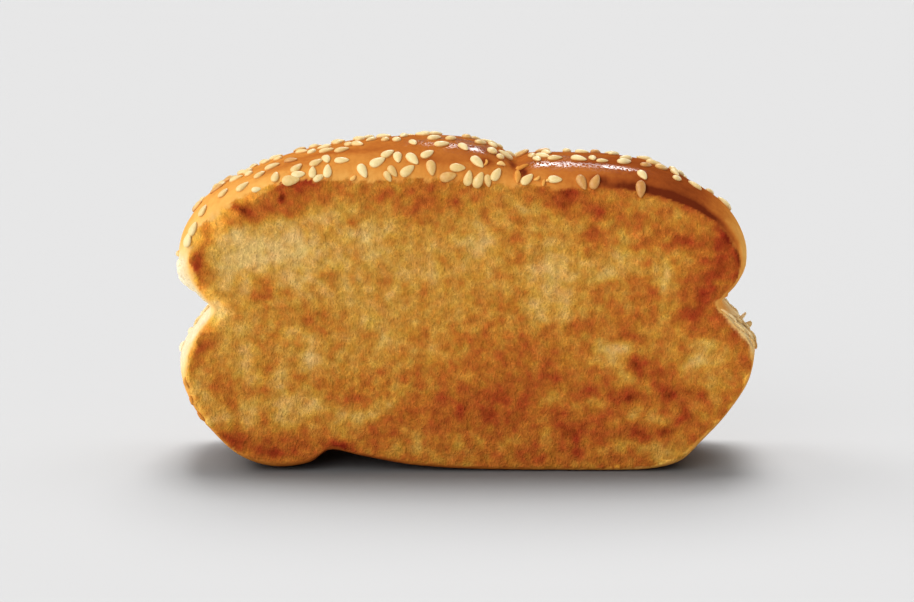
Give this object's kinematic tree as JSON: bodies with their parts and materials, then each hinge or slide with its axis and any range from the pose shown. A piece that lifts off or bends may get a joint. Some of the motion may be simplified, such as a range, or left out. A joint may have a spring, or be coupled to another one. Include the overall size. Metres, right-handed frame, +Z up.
{
  "type": "texas toast slice",
  "caption": "Thick toasted slice of sesame bread, standing upright, pinched at the waist, with a seeded crown.",
  "frame": {"origin": "middle of the slice's box in plan, on the surface that the slice stands on", "axes": "+X along the slice's length, to the right as its front cut face is seen; +Y through the thickness, from the front cut face to the back one; +Z up to the crown"},
  "size_m": [0.126, 0.0336, 0.0723],
  "materials": {
    "toasted_bread": "open toasted crumb on the cut faces, smooth baked crust round the crown",
    "sesame": "hulled sesame seed, slightly waxy"
  },
  "bodies": {
    "root": {"toast": "toasted_bread"}
  },
  "joints": []
}
